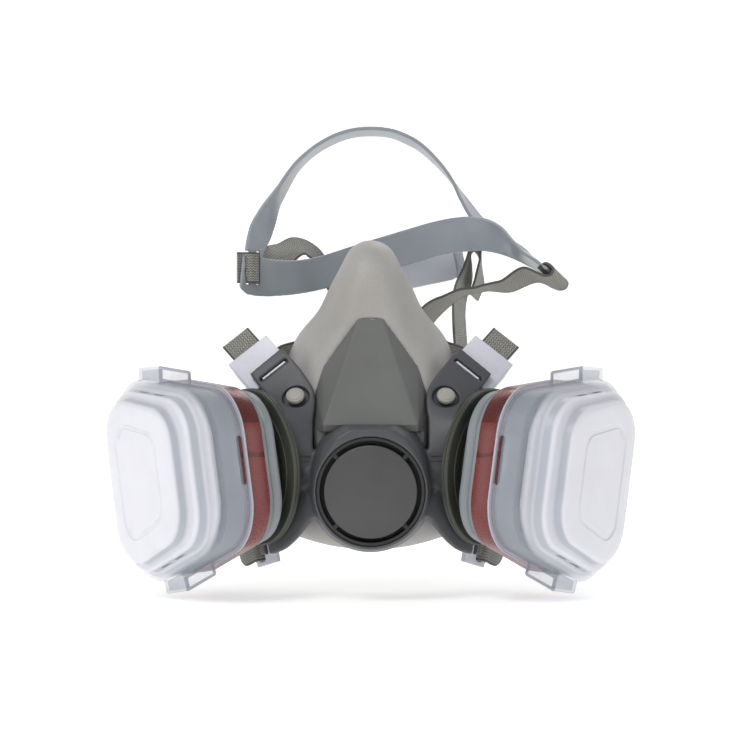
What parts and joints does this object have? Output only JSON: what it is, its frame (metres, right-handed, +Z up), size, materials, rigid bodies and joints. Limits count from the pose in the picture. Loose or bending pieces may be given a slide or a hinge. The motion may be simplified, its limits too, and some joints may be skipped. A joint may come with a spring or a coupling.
{
  "type": "half-mask respirator",
  "caption": "Half-mask respirator with a soft face seal, hard front shell, exhalation valve, bayonet filter cartridges with prefilter retainers, and an adjustable head harness.",
  "frame": {"origin": "centre of the face-seal opening, where a wearer's face holds the mask", "axes": "+Y out of the mask's open back towards the wearer, -Y towards its front, +Z up"},
  "size_m": [0.2232, 0.2094, 0.2084],
  "materials": {
    "seal_elastomer": "satin",
    "shell_plastic": "fine grain",
    "yoke_plastic": "fine grain",
    "cover_plastic": "satin",
    "stud_plastic": "satin",
    "port_plastic": "matte",
    "gasket_rubber": "matte",
    "valve_rubber": "satin",
    "cartridge_plastic": "satin",
    "label": "printed film",
    "carbon": "granular",
    "felt": "needled felt",
    "retainer_plastic": "translucent satin",
    "buckle_plastic": "satin",
    "cradle_plastic": "smooth",
    "webbing": "woven elastic"
  },
  "bodies": {
    "facepiece": {"face_seal": "seal_elastomer", "front_shell": "shell_plastic", "harness_yoke": "yoke_plastic", "exhaust_cover": "cover_plastic", "exhaust_valve_seat": "cover_plastic", "neck_clip_loop": "buckle_plastic", "left_yoke_stud": "stud_plastic", "left_port_body": "port_plastic", "left_port_gasket": "gasket_rubber", "left_upper_strap": "webbing", "left_neck_strap": "webbing", "right_yoke_stud": "stud_plastic", "right_port_body": "port_plastic", "right_port_gasket": "gasket_rubber", "right_upper_strap": "webbing", "right_neck_strap": "webbing"},
    "exhalation_flap": {"exhalation_flap": "valve_rubber"},
    "head_cradle": {"head_cradle": "cradle_plastic"},
    "neck_clip_hook": {"neck_clip_hook": "buckle_plastic"},
    "left_inhalation_flap": {"left_inhalation_flap": "valve_rubber"},
    "left_cartridge": {"left_cartridge_pan": "cartridge_plastic", "left_cartridge_body": "cartridge_plastic", "left_cartridge_label": "label", "left_carbon_bed": "carbon", "left_cartridge_lid": "cartridge_plastic"},
    "left_retainer": {"left_retainer": "retainer_plastic", "left_prefilter": "felt"},
    "left_upper_buckle": {"left_upper_buckle": "buckle_plastic"},
    "left_lower_buckle": {"left_lower_buckle": "buckle_plastic"},
    "right_inhalation_flap": {"right_inhalation_flap": "valve_rubber"},
    "right_cartridge": {"right_cartridge_pan": "cartridge_plastic", "right_cartridge_body": "cartridge_plastic", "right_cartridge_label": "label", "right_carbon_bed": "carbon", "right_cartridge_lid": "cartridge_plastic"},
    "right_retainer": {"right_retainer": "retainer_plastic", "right_prefilter": "felt"},
    "right_upper_buckle": {"right_upper_buckle": "buckle_plastic"},
    "right_lower_buckle": {"right_lower_buckle": "buckle_plastic"}
  },
  "joints": [
    {"name": "left_cartridge_turn", "type": "hinge", "parent": "facepiece", "child": "left_cartridge", "pos_m": [-0.0536, -0.0435, -0.0245], "axis": [-0.8172, -0.5722, -0.0698], "range_deg": [0, 30]},
    {"name": "left_retainer_pull", "type": "slide", "parent": "left_cartridge", "child": "left_retainer", "axis": [-0.8172, -0.5722, -0.0698], "range_m": [0, 0.025]},
    {"name": "left_inhalation_flap_open", "type": "slide", "parent": "facepiece", "child": "left_inhalation_flap", "axis": [0.8172, 0.5722, 0.0698], "range_m": [0, 0.002], "stiffness_N_per_m": 20},
    {"name": "left_upper_buckle_tilt", "type": "hinge", "parent": "facepiece", "child": "left_upper_buckle", "pos_m": [-0.0407, -0.0336, 0.016], "axis": [0.777, 0.125, 0.617], "range_deg": [-6, 2], "deforming": ["left_upper_strap"]},
    {"name": "left_lower_buckle_tilt", "type": "hinge", "parent": "facepiece", "child": "left_lower_buckle", "pos_m": [-0.043, -0.0366, -0.0552], "axis": [-0.1806, 0.1405, 0.9735], "range_deg": [-12, 2], "deforming": ["left_neck_strap"]},
    {"name": "right_cartridge_turn", "type": "hinge", "parent": "facepiece", "child": "right_cartridge", "pos_m": [0.0536, -0.0435, -0.0245], "axis": [0.8172, -0.5722, -0.0698], "range_deg": [0, 30]},
    {"name": "right_retainer_pull", "type": "slide", "parent": "right_cartridge", "child": "right_retainer", "axis": [0.8172, -0.5722, -0.0698], "range_m": [0, 0.025]},
    {"name": "right_inhalation_flap_open", "type": "slide", "parent": "facepiece", "child": "right_inhalation_flap", "axis": [-0.8172, 0.5722, 0.0698], "range_m": [0, 0.002], "stiffness_N_per_m": 20},
    {"name": "right_upper_buckle_tilt", "type": "hinge", "parent": "facepiece", "child": "right_upper_buckle", "pos_m": [0.0407, -0.0336, 0.016], "axis": [0.777, -0.125, -0.617], "range_deg": [-6, 2], "deforming": ["right_upper_strap"]},
    {"name": "right_lower_buckle_tilt", "type": "hinge", "parent": "facepiece", "child": "right_lower_buckle", "pos_m": [0.043, -0.0366, -0.0552], "axis": [-0.1806, -0.1405, -0.9735], "range_deg": [-12, 2], "deforming": ["right_neck_strap"]},
    {"name": "exhalation_flap_open", "type": "slide", "parent": "facepiece", "child": "exhalation_flap", "axis": [0, -1, 0], "range_m": [0, 0.002], "stiffness_N_per_m": 20},
    {"name": "head_cradle_stretch", "type": "slide", "parent": "facepiece", "child": "head_cradle", "axis": [0, 0.2, 0.9798], "range_m": [0, 0.025], "stiffness_N_per_m": 60, "deforming": ["left_upper_strap", "right_upper_strap"]},
    {"name": "neck_clip_unhook", "type": "slide", "parent": "facepiece", "child": "neck_clip_hook", "axis": [0, -1, 0], "range_m": [0, 0.005], "deforming": ["left_neck_strap"]}
  ]
}
